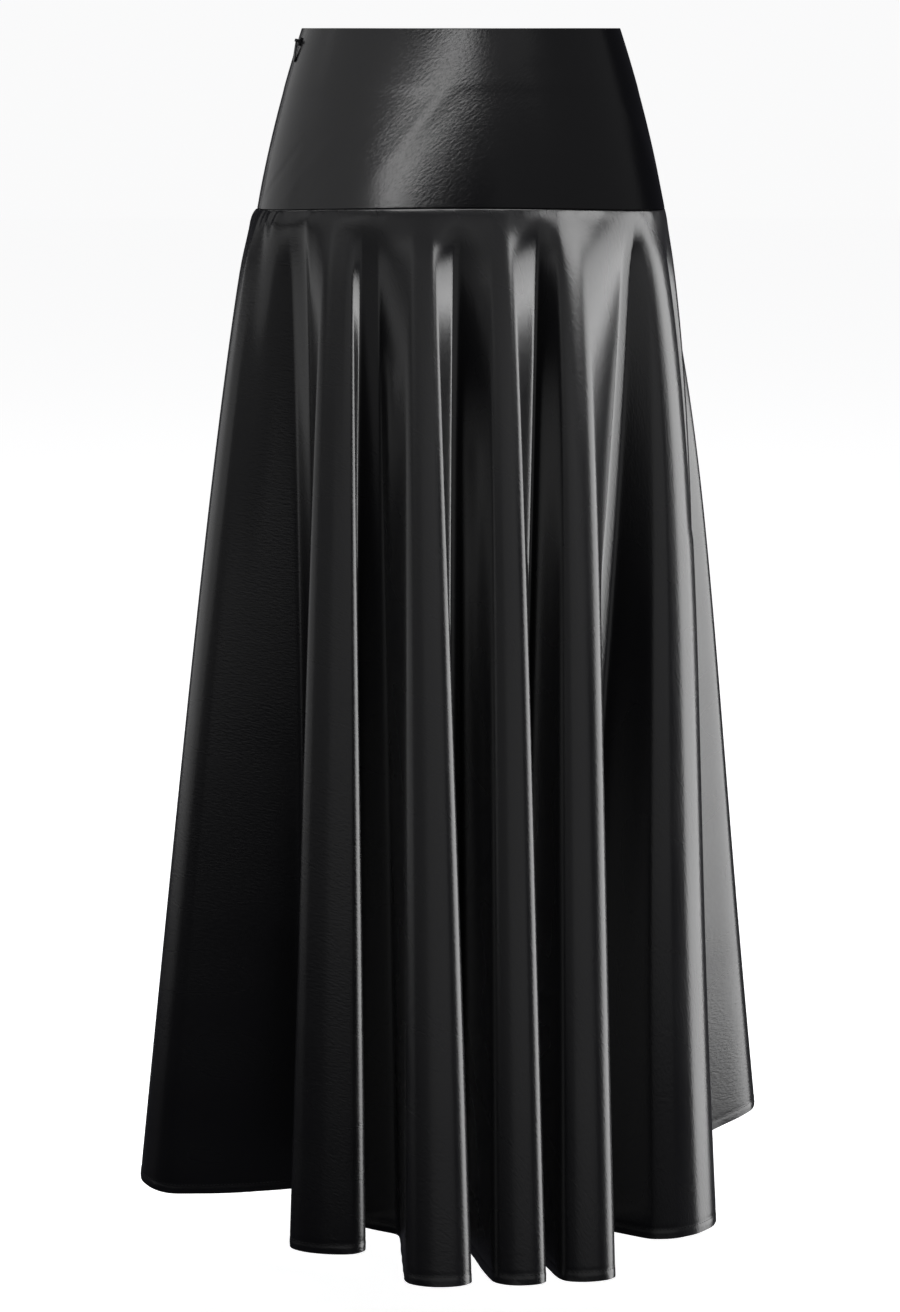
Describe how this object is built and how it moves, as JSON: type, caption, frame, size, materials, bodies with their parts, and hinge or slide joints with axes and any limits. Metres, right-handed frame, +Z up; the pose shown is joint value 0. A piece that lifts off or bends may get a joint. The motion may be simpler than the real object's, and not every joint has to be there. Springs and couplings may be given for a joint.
{
  "type": "a-line maxi skirt",
  "caption": "Long black satin skirt: a fitted hip yoke with a side zip, and a flared skirt that hangs from it in deep flutes, worn form, open at waist and hem.",
  "frame": {"origin": "centre of the waist opening, level with its top edge, where the wearer's waist holds the skirt", "axes": "+Z up towards the waist, -Y towards the front, +X towards the picture's right; the zip's seam is near -X"},
  "size_m": [0.5174, 0.5038, 0.9244],
  "materials": {
    "satin": "glossy black satin",
    "zip_tape": "matt black woven tape",
    "enamelled_metal": "black enamel"
  },
  "bodies": {
    "garment": {"yoke_front": "satin", "yoke_back": "satin", "skirt_front": "satin", "skirt_back": "satin", "zip_tape": "zip_tape", "zip_slider": "enamelled_metal"},
    "pull": {"zip_pull": "enamelled_metal"}
  },
  "joints": [
    {"name": "zip_pull_swing", "type": "hinge", "parent": "garment", "child": "pull", "pos_m": [-0.12329, -0.02124, -0.00892], "axis": [-0.3015, 0.9535, -0.0023], "range_deg": [0, 160]}
  ]
}
